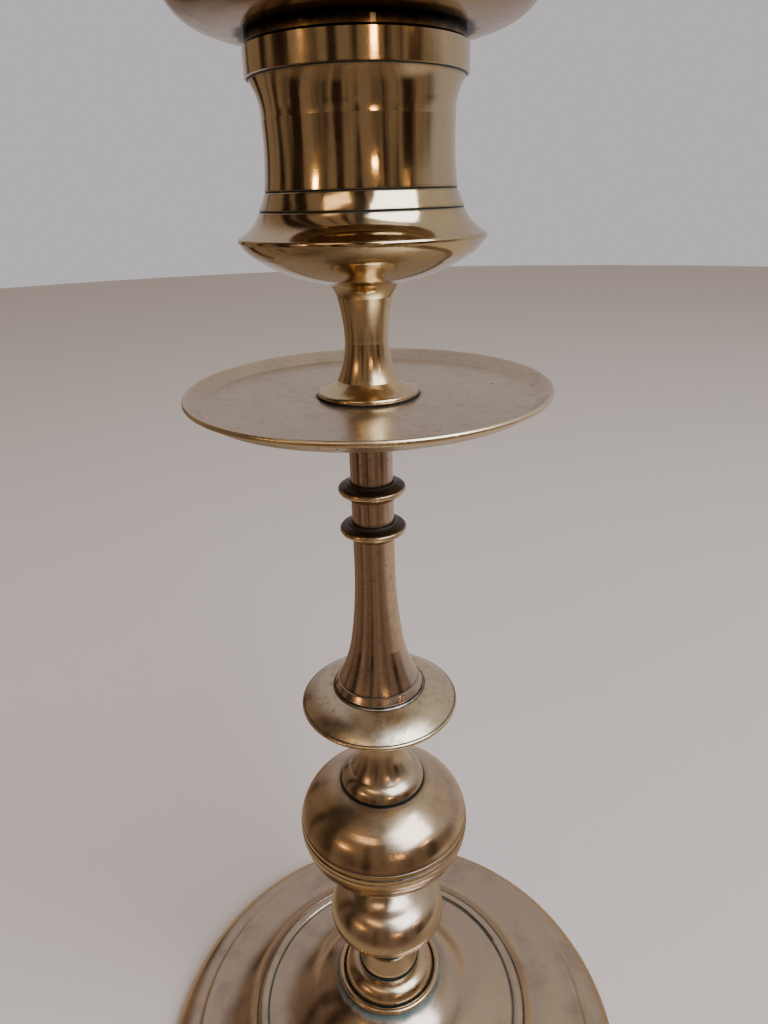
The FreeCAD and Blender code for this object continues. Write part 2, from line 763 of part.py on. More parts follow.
def hex_nut(name, place):
    """A hexagon nut with its corners turned off at both faces."""
    body = doc.addObject("PartDesign::Body", name)
    sketch = body.newObject("Sketcher::SketchObject", name + "_hexagon")
    sketch.AttachmentSupport = (plane_of(body, "XY_Plane"), [""])
    sketch.MapMode = "FlatFace"
    across = size.nut_flats.number
    reach = across / math.sqrt(3)
    turns = [math.radians(60 * corner) for corner in range(7)]
    corners = [FreeCAD.Vector(reach * math.cos(turn), reach * math.sin(turn), 0) for turn in turns]
    sides = [sketch.addGeometry(Part.LineSegment(a, b), False) for a, b in zip(corners, corners[1:])]
    circle = Part.Circle(FreeCAD.Vector(0, 0, 0), FreeCAD.Vector(0, 0, 1), reach)
    guide = sketch.addGeometry(circle, True)
    sketch.addConstraint(Sketcher.Constraint("Coincident", guide, 3, -1, 1))
    for side, following in zip(sides, sides[1:] + sides[:1]):
        sketch.addConstraint(Sketcher.Constraint("Coincident", side, 2, following, 1))
        sketch.addConstraint(Sketcher.Constraint("PointOnObject", side, 1, guide))
    for side in sides[1:]:
        sketch.addConstraint(Sketcher.Constraint("Equal", sides[0], side))
    sketch.addConstraint(Sketcher.Constraint("PointOnObject", sides[0], 1, -1))
    rule = sketch.addConstraint(Sketcher.Constraint("Radius", guide, reach))
    sketch.setExpression("Constraints[%d]" % rule, "Sizes.nut_flats / sqrt(3)")
    pad = body.newObject("PartDesign::Pad", name + "_pad")
    pad.Profile = sketch
    pad.Length = size.nut_height.number
    pad.setExpression("Length", "Sizes.nut_height")
    sketch.Visibility = False
    flat = size.nut_flats / 2
    outer = size.nut_flats * 0.6  # just past the corners, which lie at 0.577 of the flats
    lower_bevel = Outline(flat, zero)
    lower_bevel.line(outer, zero)
    lower_bevel.line(outer, size.nut_chamfer)
    groove(body, name + "_lower_bevel", lower_bevel)
    upper_bevel = Outline(flat, size.nut_height)
    upper_bevel.line(outer, size.nut_height - size.nut_chamfer)
    upper_bevel.line(outer, size.nut_height)
    groove(body, name + "_upper_bevel", upper_bevel)
    thread = Outline(zero, zero)
    thread.line(size.rod_radius, zero)
    thread.line(size.rod_radius, size.nut_height)
    thread.line(zero, size.nut_height)
    groove(body, name + "_thread", thread)
    seated(body, place)
    pieces.append(body)


boss_under = size.foot_height - size.foot_boss_depth
foot_washer_seat = boss_under - size.washer_height
foot_nut_seat = foot_washer_seat - size.nut_height
socket_floor = socket_seat + size.socket_floor
washer("foot_washer", foot_washer_seat)
hex_nut("foot_nut", foot_nut_seat)
washer("socket_washer", socket_floor)
hex_nut("socket_nut", socket_floor + size.washer_height)

rod_start = foot_nut_seat - size.rod_overhang
rod_end = socket_floor + size.washer_height + size.nut_height + size.rod_overhang
rod_length = rod_end - rod_start
point = size.rod_radius - size.edge_break
rod_outline = Outline(zero, zero)
rod_outline.line(point, zero)
rod_outline.line(size.rod_radius, size.edge_break)
rod_outline.line(size.rod_radius, rod_length - size.edge_break)
rod_outline.line(point, rod_length)
rod_outline.line(zero, rod_length)
pieces.append(turned("tie_rod", rod_start, rod_outline))

# ---------------------------------------------------------------- lift-out candle nozzle

nozzle_seat = socket_seat + size.socket_height
seat_radius = band_radius - size.nozzle_seat_inset
bowl_radius = seat_radius + size.dish_bowl_width
rim_radius = seat_radius + size.dish_rim_width
rim_rise = size.dish_rim_rise - size.dish_wall / 2
dish = Outline(cup_radius, zero)
dish.line(seat_radius, zero)
dish.line(seat_radius, size.nozzle_seat_height)
dish.bow(bowl_radius, size.dish_bowl_rise, left(size.dish_bowl_bow))
dish.bow(rim_radius, rim_rise, left(size.dish_rim_bow))
dish.bow(rim_radius - size.dish_wall, rim_rise, left(size.round_bow))
dish.bow(bowl_radius, size.dish_bowl_rise + size.dish_wall, right(size.dish_inner_rim_bow))
dish.line(seat_radius, size.nozzle_seat_height + size.dish_wall)
dish.line(cup_radius, size.nozzle_seat_height + size.dish_wall)
pieces.append(turned("nozzle_dish", nozzle_seat, dish))

plug = Outline(plug_radius - size.plug_wall, zero)
plug.line(plug_radius - size.edge_break, zero)
plug.line(plug_radius, size.edge_break)
plug.line(plug_radius, size.plug_depth)
plug.line(plug_radius - size.plug_wall, size.plug_depth)
pieces.append(turned("nozzle_plug", nozzle_seat - size.plug_depth, plug))

cup_height = size.cup_drop + size.cup_rise
cup = Outline(zero, zero)
cup.line(cup_radius - size.edge_break, zero)
cup.line(cup_radius, size.edge_break)
cup.line(cup_radius, cup_height - size.cup_lip * 2)
cup.bow(cup_radius, cup_height, left(size.round_bow))
cup.line(size.candle_radius, cup_height)
cup.line(size.candle_radius, size.cup_floor)
cup.line(zero, size.cup_floor)
pieces.append(turned("candle_cup", nozzle_seat - size.cup_drop, cup))

# ---------------------------------------------------------------- check and write

doc.recompute()
for item in doc.Objects:
    if "Invalid" in item.State or "Error" in item.State:
        raise RuntimeError("%s failed: %s" % (item.Name, item.State))
for body in pieces:
    shape = body.Shape
    if shape.isNull() or not shape.isValid() or len(shape.Solids) != 1:
        raise RuntimeError(body.Label + " is not one valid solid")
for body in pieces:
    body.Shape.exportStep("parts/%s.step" % body.Label)
    box = body.Shape.BoundBox
    print("%-18s z %8.2f to %8.2f   r %6.2f   %9.1f mm3"
          % (body.Label, box.ZMin, box.ZMax, box.XMax, body.Shape.Volume))
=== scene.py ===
"""Altar candlestick in aged, semi-polished brass: looks, stage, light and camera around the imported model."""

import logging
import math
from dataclasses import dataclass, field
from enum import Enum
from typing import Any

import bpy
from mathutils import Matrix, Vector


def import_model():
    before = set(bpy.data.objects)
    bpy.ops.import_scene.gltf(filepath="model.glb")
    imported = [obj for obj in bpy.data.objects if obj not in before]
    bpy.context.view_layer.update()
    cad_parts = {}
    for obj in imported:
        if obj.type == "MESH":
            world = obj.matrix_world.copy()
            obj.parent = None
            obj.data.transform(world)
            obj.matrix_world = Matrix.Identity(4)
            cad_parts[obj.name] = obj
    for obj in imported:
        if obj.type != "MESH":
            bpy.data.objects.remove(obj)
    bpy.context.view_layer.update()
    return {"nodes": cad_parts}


log = logging.getLogger("candlestick")

MM = 0.001
LIT_HEIGHT = 0.16

Socket = bpy.types.NodeSocket


# ---------------------------------------------------------------- small helpers


def linear(hex_colour: str) -> tuple[float, float, float, float]:
    """Turns an sRGB hex colour into Blender's linear values.

    Args:
        hex_colour: six hex digits, such as "b08d57".

    Returns:
        Linear red, green, blue and an alpha of one.
    """
    channels = [int(hex_colour[i : i + 2], 16) / 255 for i in (0, 2, 4)]
    curve = [c / 12.92 if c <= 0.04045 else ((c + 0.055) / 1.055) ** 2.4 for c in channels]
    return (curve[0], curve[1], curve[2], 1.0)


class Graph:
    """A material's node tree, with one way to add a node."""

    def __init__(self, tree: bpy.types.NodeTree) -> None:
        """Empties the tree and keeps it."""
        self.tree = tree
        tree.nodes.clear()

    def add(self, kind: str, settings: dict[str, Any] | None = None, **inputs: Any) -> bpy.types.Node:
        """Adds a node, sets its properties and fills or links its inputs.

        Args:
            kind: the node's class name without "ShaderNode".
            settings: the node's own properties by name.
            **inputs: values or sockets, by input name with spaces as underscores, or i0, i1 by place.

        Returns:
            The new node.
        """
        node = self.tree.nodes.new("ShaderNode" + kind)
        for name, value in (settings or {}).items():
            setattr(node, name, value)
        for name, value in inputs.items():
            slot = node.inputs[int(name[1:])] if name[1:].isdigit() else node.inputs[name.replace("_", " ")]
            if isinstance(value, bpy.types.NodeSocket):
                self.tree.links.new(value, slot)
            else:
                slot.default_value = value
        return node

    def math(self, operation: str, *values: Any) -> Socket:
        """Adds a Math node.

        Args:
            operation: the node's operation, such as "ADD".
            *values: numbers or sockets, in the order of its inputs.

        Returns:
            Its result.
        """
        inputs = {f"i{place}": value for place, value in enumerate(values)}
        return self.add("Math", {"operation": operation}, **inputs).outputs[0]

    def ramp(self, value: Any, low: float, high: float, to_low: float = 0.0, to_high: float = 1.0) -> Socket:
        """Maps low..high smoothly to to_low..to_high and clamps outside it.

        Args:
            value: what is mapped.
            low: the value that gives to_low; it may be above high, and the map then falls.
            high: the value that gives to_high.
            to_low: the result at low.
            to_high: the result at high.

        Returns:
            The mapped value.
        """
        node = self.add("MapRange", {"interpolation_type": "SMOOTHSTEP"}, i0=value, i1=low, i2=high,
                        i3=to_low, i4=to_high)
        return node.outputs[0]

    def mix(self, factor: Any, first: Any, second: Any) -> Socket:
        """Mixes two colours.

        Args:
            factor: nought gives the first colour and one the second.
            first: the first colour.
            second: the second colour.

        Returns:
            The mixed colour.
        """
        node = self.add("Mix", {"data_type": "RGBA"}, i0=factor, i6=first, i7=second)
        return node.outputs[2]


# ---------------------------------------------------------------- turned sections


@dataclass(frozen=True)
class Crease:
    """A circle round the axis where tarnish gathers, in metres."""

    radius: float
    height: float
    reach: float


@dataclass
class Section:
    """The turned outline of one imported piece, read from the mesh edges that lie on its seam.

    SEAM is how far off the seam's plane, in metres, a vertex may lie; GRID steps to the metre decide
    which vertices are at one place.
    """

    node: str
    points: list[tuple[float, float]] = field(default_factory=list)

    SEAM = 2e-7
    GRID = 1e7

    @classmethod
    def of(cls, node: str, mesh: bpy.types.Mesh) -> "Section":
        """Chains the seam edges of a turned piece into one outline.

        Args:
            node: the piece's name.
            mesh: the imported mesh.

        Returns:
            The section, with its points in metres as (radius, height).
        """
        def place(index: int) -> tuple[int, int]:
            point = mesh.vertices[index].co
            return round(point.x * cls.GRID), round(point.z * cls.GRID)

        seam = {v.index for v in mesh.vertices if abs(v.co.y) < cls.SEAM and v.co.x > -cls.SEAM}
        near: dict[tuple[int, int], set[tuple[int, int]]] = {}
        for edge in mesh.edges:
            if edge.vertices[0] in seam and edge.vertices[1] in seam:
                one, two = place(edge.vertices[0]), place(edge.vertices[1])
                if one != two:
                    near.setdefault(one, set()).add(two)
                    near.setdefault(two, set()).add(one)
        start = min(near, key=lambda spot: (len(near[spot]), spot[1], spot[0]))
        chain, here = [start], start
        while True:
            onward = [spot for spot in sorted(near[here]) if spot not in chain]
            if not onward:
                break
            here = onward[0]
            chain.append(here)
        return cls(node, [(x / cls.GRID, z / cls.GRID) for x, z in chain])

    def area(self) -> float:
        """Twice the signed area of the outline, positive when it runs counter-clockwise."""
        pairs = zip(self.points, self.points[1:] + self.points[:1])
        return sum(a[0] * b[1] - b[0] * a[1] for a, b in pairs)

    def widest(self, reach: float) -> Crease:
        """Finds the circle where the piece stands out furthest, which handling keeps bright.

        Args:
            reach: how far the brightness spreads from it.

        Returns:
            The circle.
        """
        radius, height = max(self.points)
        return Crease(radius, height, reach)

    def creases(self, sharpest: float, inner: float, reach: float) -> list[Crease]:
        """Finds the hollow corners of the outline.

        Args:
            sharpest: the smallest turn, in degrees, that counts as a crease.
            inner: corners nearer the axis than this are inside the stem and don't count.
            reach: how far the tarnish spreads from the corner.

        Returns:
            One crease for each hollow corner.
        """
        line = self.points if self.area() > 0 else self.points[::-1]
        found = []
        for before, here, after in zip([line[-1]] + line[:-1], line, line[1:] + [line[0]]):
            heading_in = math.atan2(here[1] - before[1], here[0] - before[0])
            heading_out = math.atan2(after[1] - here[1], after[0] - here[0])
            turn = math.degrees((heading_out - heading_in + math.pi) % (2 * math.pi) - math.pi)
            if turn < -sharpest and here[0] > inner:
                found.append(Crease(here[0], here[1], reach))
        return found


# ---------------------------------------------------------------- finishes


@dataclass(frozen=True)
class Grain:
    """Real sizes of a finish's patterns, in millimetres, and how many specks' widths part the specks.

    A lathe's finest rings are under 0.1 mm apart, too fine to show, so turning is as coarse as it needs
    to be seen.
    """

    cloud: float = 22.0
    blotch: float = 7.0
    mottle: float = 1.6
    speck: float = 0.9
    speck_apart: float = 4.5
    speck_group: float = 11.0
    ragged: float = 3.0
    patch: float = 6.0
    turning: float = 0.6


@dataclass(frozen=True)
class AgedMetal:
    """Brass or steel, turned, polished and waxed, then left to tone: bright where it is rubbed.

    The eye reads it by sharp warm reflections under the wax, a haze round them where the toning is
    thickest, faint rings from the lathe, and black and blue-green tarnish where the cloth can't reach.
    Its colours are sRGB; gloss and satin are the roughness of its best and worst kept places; the other
    numbers are shares, nought to one, of each effect.
    """

    name: str
    bright: str = "cfb184"
    toned: str = "a98e70"
    dull: str = "6f5644"
    worn: str = "ecdcb8"
    soot: str = "14100c"
    verdigris: str = "27433f"
    gloss: float = 0.17
    satin: float = 0.30
    toning: float = 0.5
    mottling: float = 0.3
    specks: float = 0.0
    rings: float = 0.25
    wax: float = 0.35
    green: float = 0.6
    shelf: float = 0.0
    grain: Grain = Grain()

    # Relief: 0.05 mm stands for one, and dirt and mottling raise this share of it.
    BUMP_STRENGTH = 0.3
    BUMP_HEIGHT = 0.05 * MM
    DIRT_HEIGHT = 0.6
    MOTTLE_HEIGHT = 0.3

    # Sheen: the lathe's rings stretch the reflections, and the wax is clearer than the metal under it.
    BRUSHED = 0.3
    WAX_ROUGHNESS = 0.06
    DIRT_ROUGHNESS = 0.4
    DULL_ROUGHNESS = 0.2
    RING_ROUGHNESS = 0.2
    WEAR_ROUGHNESS = -0.04
    GREEN_METAL = -0.8

    # Toning: what each pattern adds to it, and where it starts for the least and the most toned finish.
    CLOUD_WEIGHT = 0.6
    BLOTCH_WEIGHT = 0.4
    RING_WEIGHT = 0.1
    TONING_START = 0.85
    TONING_RANGE = 0.55
    TONING_EDGE = 0.22

    # Tarnish: how uneven its edge is, how far its haze spreads, and which slopes, by how far they face up, are
    # darkened toward the soot colour.
    RAGGEDNESS = (0.8, 1.2)
    HALO_SPREAD = 2.2
    HALO_SHARE = 0.4
    WEAR_SHARE = 0.8
    SHELF_FACING = (0.45, 0.8)
    FADE = 0.8

    # Where each noise starts and ends its change.
    BLOTCH_EDGE = (0.3, 0.72)
    MOTTLE_EDGE = (0.48, 0.72)
    PATCH_EDGE = (0.3, 0.55)
    SPECK_EDGE = (0.13, 0.07)
    GROUP_EDGE = (0.52, 0.6)

    def noise(self, g: Graph, place: Socket, size: float, detail: float = 4.0,
              rough: float = 0.55) -> Socket:
        """Adds noise to the graph.

        Args:
            g: the material's graph.
            place: the point on the piece.
            size: about how wide its blobs are, in millimetres.
            detail: how many finer layers it has.
            rough: how strong the finer layers are.

        Returns:
            The noise, about nought to one.
        """
        node = g.add("TexNoise", Vector=place, Scale=1 / (size * MM), Detail=detail, Roughness=rough)
        return node.outputs["Fac"]

    def near(self, g: Graph, turned: "TurnedPlace", ragged: Socket, circles: list[Crease],
             spread: float) -> Any:
        """One on any of the circles, falling smoothly to nothing at spread times each one's reach.

        Args:
            g: the material's graph.
            turned: where the point is.
            ragged: factor on the reach that makes the edge uneven.
            circles: the circles.
            spread: factor on every reach.

        Returns:
            The mask.
        """
        mask: Any = 0.0
        for circle in circles:
            across = g.math("SUBTRACT", turned.radius, circle.radius)
            along = g.math("SUBTRACT", turned.height, circle.height)
            squares = g.math("ADD", g.math("MULTIPLY", across, across), g.math("MULTIPLY", along, along))
            edge = g.math("MULTIPLY", ragged, circle.reach * spread)
            share = g.math("DIVIDE", g.math("SQRT", squares), edge)
            mask = g.math("MAXIMUM", mask, g.math("SUBTRACT", 1.0, share))
        return g.ramp(mask, 0.0, self.FADE)

    def material(self, node: str, creases: list[Crease], rims: list[Crease]) -> bpy.types.Material:
        """Builds the finish for one piece.

        Args:
            node: the piece's name.
            creases: circles where tarnish gathers on it.
            rims: circles that handling keeps bright.

        Returns:
            The material.
        """
        material = bpy.data.materials.new(f"{self.name}_{node}")
        material.use_nodes = True
        g = Graph(material.node_tree)
        turned = TurnedPlace.of(g, self.grain.turning)
        cloud = self.noise(g, turned.place, self.grain.cloud, 5.0, 0.6)
        blotch = self.noise(g, turned.place, self.grain.blotch, 5.0, 0.62)
        mottle = self.noise(g, turned.place, self.grain.mottle, 5.0, 0.65)
        lines = g.add("TexNoise", Vector=turned.rings, Scale=1.0, Detail=3.0, Roughness=0.6).outputs["Fac"]
        ragged = g.ramp(self.noise(g, turned.place, self.grain.ragged), 0.2, 0.8, *self.RAGGEDNESS)

        colour, dulled = self.toned_colour(g, cloud, blotch, mottle, lines)
        spots = self.spots(g, turned.place)
        colour = g.mix(spots, colour, linear(self.soot))
        wear = g.math("MULTIPLY", self.near(g, turned, ragged, rims, 1.0), self.WEAR_SHARE)
        colour = g.mix(wear, colour, linear(self.worn))
        halo = self.near(g, turned, ragged, creases, self.HALO_SPREAD)
        halo = g.math("MULTIPLY", halo, self.HALO_SHARE)
        shelf = g.math("MULTIPLY", g.ramp(turned.upward, *self.SHELF_FACING), self.shelf)
        shade = g.math("MAXIMUM", halo, shelf)
        colour = g.mix(shade, colour, linear(self.soot if self.shelf else self.dull))
        crust = self.near(g, turned, ragged, creases, 1.0)
        patch = self.noise(g, turned.place, self.grain.patch, 3.0)
        patchy = g.math("MULTIPLY", g.ramp(patch, *self.PATCH_EDGE), self.green)
        colour = g.mix(crust, colour, g.mix(patchy, linear(self.soot), linear(self.verdigris)))

        dirt = g.math("MAXIMUM", crust, spots)
        rough = g.ramp(blotch, *self.BLOTCH_EDGE, self.gloss, self.satin)
        swing = g.math("SUBTRACT", lines, 0.5)
        rough = g.math("MULTIPLY_ADD", swing, self.rings * self.RING_ROUGHNESS, rough)
        rough = g.math("MULTIPLY_ADD", dulled, self.DULL_ROUGHNESS, rough)
        grime = g.math("MAXIMUM", dirt, g.math("MULTIPLY", shelf, 0.5))
        rough = g.math("MULTIPLY_ADD", grime, self.DIRT_ROUGHNESS, rough)
        rough = g.math("MULTIPLY_ADD", wear, self.WEAR_ROUGHNESS, rough)
        metal = g.math("MULTIPLY_ADD", dirt, self.GREEN_METAL * self.green, 1.0)

        relief = g.math("MULTIPLY", lines, self.rings)
        relief = g.math("MULTIPLY_ADD", mottle, self.MOTTLE_HEIGHT * self.mottling, relief)
        relief = g.math("MULTIPLY_ADD", dirt, self.DIRT_HEIGHT, relief)
        bump = g.add("Bump", Strength=self.BUMP_STRENGTH, Distance=self.BUMP_HEIGHT, Height=relief)
        shader = g.add("BsdfPrincipled", Base_Color=colour, Metallic=metal, Roughness=rough,
                       Normal=bump.outputs[0])
        shader.inputs["Anisotropic"].default_value = self.BRUSHED
        shader.inputs["Coat Weight"].default_value = self.wax
        shader.inputs["Coat Roughness"].default_value = self.WAX_ROUGHNESS
        g.add("OutputMaterial", Surface=shader.outputs[0])
        return material

    def toned_colour(self, g: Graph, cloud: Socket, blotch: Socket, mottle: Socket,
                     lines: Socket) -> tuple[Socket, Socket]:
        """Lays patchy toning over bright metal.

        Args:
            g: the material's graph.
            cloud: wide noise.
            blotch: middling noise.
            mottle: fine noise.
            lines: the lathe's rings.

        Returns:
            The colour, and how dull each place is.
        """
        patches = g.math("MULTIPLY", blotch, self.BLOTCH_WEIGHT)
        patches = g.math("MULTIPLY_ADD", cloud, self.CLOUD_WEIGHT, patches)
        level = g.math("MULTIPLY_ADD", lines, self.RING_WEIGHT, patches)
        low = self.TONING_START - self.toning * self.TONING_RANGE
        toned = g.ramp(level, low, low + self.TONING_EDGE)
        colour = g.mix(toned, linear(self.bright), linear(self.toned))
        dulled = g.math("MULTIPLY", g.ramp(mottle, *self.MOTTLE_EDGE), self.mottling)
        return g.mix(dulled, colour, linear(self.dull)), dulled

    def spots(self, g: Graph, place: Socket) -> Socket:
        """Scatters fly-specks of dirt in loose groups.

        Args:
            g: the material's graph.
            place: the point on the piece.

        Returns:
            One in a speck and nothing between them.
        """
        apart = self.grain.speck * self.grain.speck_apart * MM
        cell = g.add("TexVoronoi", {"feature": "F1"}, Vector=place, Scale=1 / apart,
                     Randomness=1.0).outputs["Distance"]
        group = g.ramp(self.noise(g, place, self.grain.speck_group, 2.0), *self.GROUP_EDGE)
        speck = g.math("MULTIPLY", g.ramp(cell, *self.SPECK_EDGE), group)
        return g.math("MULTIPLY", speck, self.specks)


@dataclass(frozen=True)
class TurnedPlace:
    """Where a point of a turned piece is: its radius, height and place, and which way it faces."""

    place: Socket
    radius: Socket
    height: Socket
    upward: Socket
    rings: Socket

    ROUND = 1.3

    @classmethod
    def of(cls, g: Graph, pitch: float) -> "TurnedPlace":
        """Adds the nodes.

        Args:
            g: the material's graph.
            pitch: width of the lathe's rings in millimetres.

        Returns:
            The sockets, rings being a vector that changes fast along the outline and by ROUND to the
            radian round it.
        """
        where = g.add("TexCoord")
        parts = g.add("SeparateXYZ", i0=where.outputs["Object"])
        x, y, height = parts.outputs[0], parts.outputs[1], parts.outputs[2]
        radius = g.math("SQRT", g.math("ADD", g.math("MULTIPLY", x, x), g.math("MULTIPLY", y, y)))
        upward = g.add("SeparateXYZ", i0=where.outputs["Normal"]).outputs[2]
        scale = 1 / (pitch * MM)
        rings = g.add("CombineXYZ", i0=g.math("MULTIPLY", radius, scale),
                      i1=g.math("MULTIPLY", g.math("ARCTAN2", y, x), cls.ROUND),
                      i2=g.math("MULTIPLY", height, scale)).outputs[0]
        return cls(where.outputs["Object"], radius, height, upward, rings)


# ---------------------------------------------------------------- the bench


@dataclass
class Bench:
    """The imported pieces, their outlines, and the joint lines between each piece and the one on it.

    STACK names the pieces that stand on one another, from the lowest. Corners nearer the axis than
    inside are hidden in the stem; sharpest is the smallest turn, in degrees, that counts as a corner;
    the reaches are how far tarnish or wear spreads; foot_band is how much of a piece is its foot.
    """

    nodes: dict[str, bpy.types.Object]
    sections: dict[str, Section] = field(default_factory=dict)
    joints: dict[str, list[Crease]] = field(default_factory=dict)
    inside: float = 5.2 * MM
    sharpest: float = 24.0
    groove_reach: float = 0.4 * MM
    joint_reach: float = 0.6 * MM
    rim_reach: float = 0.9 * MM
    foot_band: float = 1.2 * MM

    STACK = ("foot", "crown_bead_ring", "cushion_boss", "neck_collar", "lower_knop", "ball_throat",
             "ball_lower_half", "ball_upper_half", "ball_spool", "bell_flange", "trumpet_stem",
             "lower_stem_ring", "ring_spacer", "upper_stem_ring", "upper_stem", "drip_pan", "waist_spool",
             "candle_socket")

    def survey(self) -> None:
        """Reads every turned piece's outline and finds the joint lines up the stem."""
        for name in self.nodes:
            if not name.endswith("_nut"):  # a hexagon has no turned outline
                self.sections[name] = Section.of(name, self.nodes[name].data)
        for lower, upper in zip(self.STACK, self.STACK[1:]):
            line = self.joint_line(upper)
            self.joints.setdefault(lower, []).append(line)
            self.joints.setdefault(upper, []).append(line)

    def joint_line(self, upper: str) -> Crease:
        """Finds the circle that the outer edge of a piece's foot makes on the piece below.

        Args:
            upper: the piece that stands on the other.

        Returns:
            The circle.
        """
        points = self.sections[upper].points
        height = min(z for _, z in points)
        radius = max(r for r, z in points if z < height + self.foot_band)
        return Crease(radius, height, self.joint_reach)

    def dress(self, name: str, finish: AgedMetal, joint: float = 1.0, groove: float = 1.0,
              rim: float = 1.0, wide: dict[int, float] | None = None) -> None:
        """Gives one piece its own copy of a finish, with tarnish in its own corners.

        Args:
            name: the piece.
            finish: the finish.
            joint: how much wider than usual tarnish spreads from the joint lines.
            groove: the same for the piece's own hollow corners.
            rim: the same for the bright line on its widest circle, or nought for none.
            wide: extra factors for single joint lines, by their place among the piece's own.
        """
        section = self.sections[name]
        reach = self.groove_reach * groove
        creases = section.creases(self.sharpest, self.inside, reach) if groove else []
        for place, line in enumerate(self.joints.get(name, [])):
            factor = joint * (wide or {}).get(place, 1.0)
            creases.append(Crease(line.radius, line.height, line.reach * factor))
        rims = [section.widest(self.rim_reach * rim)] if rim else []
        self.paint(name, finish.material(name, creases, rims))
        log.info("%s: %s, %d tarnished circles", name, finish.name, len(creases))

    def paint(self, name: str, material: bpy.types.Material) -> None:
        """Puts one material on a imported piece.

        Args:
            name: the piece.
            material: the material.
        """
        slots = self.nodes[name].data.materials
        slots.clear()
        slots.append(material)


# ---------------------------------------------------------------- sub-assemblies


@dataclass
class Foot:
    """The hollow cast foot with the bead ring and cushion boss on its crown."""

    # A cast and turned cone: pale, even, soft reflections, with blue-green in the groove of the crown.
    body: AgedMetal = AgedMetal(
        "cast_brass_satin", bright="c4b39d", toned="ad9b89", dull="6a5a4e", verdigris="4c6966", gloss=0.17,
        satin=0.27, toning=0.6, mottling=0.07, rings=0.35, wax=0.25, green=0.9)
    # Small turned rings that stay a little darker than the cone under them.
    crown: AgedMetal = AgedMetal("turned_brass_toned", bright="c8b191", toned="a48f77")

    def dress(self, bench: Bench) -> None:
        """Dresses the foot and what stands on its crown.

        Args:
            bench: the bench that holds the pieces.
        """
        bench.dress("foot", self.body, groove=1.3, joint=4.5, rim=0)
        bench.dress("crown_bead_ring", self.crown, joint=1.6)
        bench.dress("cushion_boss", self.crown, joint=1.3)


@dataclass
class KnoppedStem:
    """The turned sections from the neck collar up to the drip pan."""

    # Turned and waxed: the knop and its neighbours mirror the room softly, as a row of warm patches.
    knop: AgedMetal = AgedMetal(
        "turned_brass_waxed", bright="c7b59b", toned="a39180", gloss=0.19, satin=0.28, mottling=0.15)
    # Spun in two halves: broad soft reflections, broken by a pale worn line where the halves meet.
    ball: AgedMetal = AgedMetal(
        "spun_brass_waxed", bright="cab595", toned="a59079", worn="dcc294", gloss=0.17, satin=0.28,
        toning=0.6, mottling=0.15, green=0.15)
    # The bell that hands miss: pale and rubbed dull, with freckled brown toning.
    flange: AgedMetal = AgedMetal(
        "turned_brass_mottled", bright="d2c3a4", toned="b0a086", dull="6e5f4a", gloss=0.22, satin=0.36,
        mottling=0.5, green=0.15)
    # The slim stem: the glossiest of the lower pieces, brown between narrow upright highlights.
    stem: AgedMetal = AgedMetal(
        "turned_brass_brown", bright="cdb9a4", toned="aa988a", gloss=0.15, satin=0.25)
    # The stem's rings: dark brown, darkened toward black on their upper sides.
    ring: AgedMetal = AgedMetal(
        "turned_brass_tarnished", bright="a88664", toned="735846", gloss=0.2, satin=0.35, toning=0.6,
        shelf=0.85)

    def dress(self, bench: Bench) -> None:
        """Dresses every section.

        Args:
            bench: the bench that holds the pieces.
        """
        bench.dress("neck_collar", self.knop, joint=1.3)
        bench.dress("lower_knop", self.knop, rim=1.3)
        bench.dress("ball_throat", self.knop, rim=0)
        bench.dress("ball_lower_half", self.ball, groove=1.5, rim=2.4)
        bench.dress("ball_upper_half", self.ball, groove=1.5, rim=2.4, wide={1: 1.8})
        bench.dress("ball_spool", self.knop, rim=0, wide={0: 1.6})
        bench.dress("bell_flange", self.flange, groove=0.6, rim=1.2)
        bench.dress("trumpet_stem", self.stem, groove=1.2, rim=0)
        bench.dress("ring_spacer", self.stem, rim=0)
        bench.dress("upper_stem", self.stem, rim=0)
        for name in ("lower_stem_ring", "upper_stem_ring"):
            bench.dress(name, self.ring, rim=1.0)


@dataclass
class DripPan:
    """The thin spun pan that catches wax."""

    # Spun sheet, rubbed matt by the scraping off of wax: pale and hazy, with fly-specks on it.
    finish: AgedMetal = AgedMetal(
        "spun_brass_satin", bright="cbbda8", toned="b2a391", dull="857464", gloss=0.26, satin=0.36,
        mottling=0.3, specks=0.8, rings=0.35, wax=0.2)

    def dress(self, bench: Bench) -> None:
        """Dresses the pan."""
        bench.dress("drip_pan", self.finish, groove=0.0, rim=1.4)


@dataclass
class CandleSocket:
    """The waist spool and socket, kept polished, and the tie rod's fastenings inside."""

    # The socket is handled and polished most: near a mirror, with the room drawn sharply in it.
    polished: AgedMetal = AgedMetal(
        "turned_brass_polished", bright="cab894", toned="ae9c7e", dull="766249", gloss=0.08, satin=0.14,
        toning=0.45, mottling=0.12, rings=0.12, wax=0.2)
    # The spool is rubbed as often but less finely: the palest gold, with blurred reflections.
    spool: AgedMetal = AgedMetal(
        "turned_brass_rubbed", bright="d8c299", toned="b8a17c", dull="765f42", gloss=0.15, satin=0.24,
        toning=0.4, mottling=0.15, rings=0.2, wax=0.2)

    def dress(self, bench: Bench) -> None:
        """Dresses the pieces above the pan."""
        bench.dress("waist_spool", self.spool, rim=0, wide={0: 1.4, 1: 0.8})
        bench.dress("candle_socket", self.polished, rim=0)


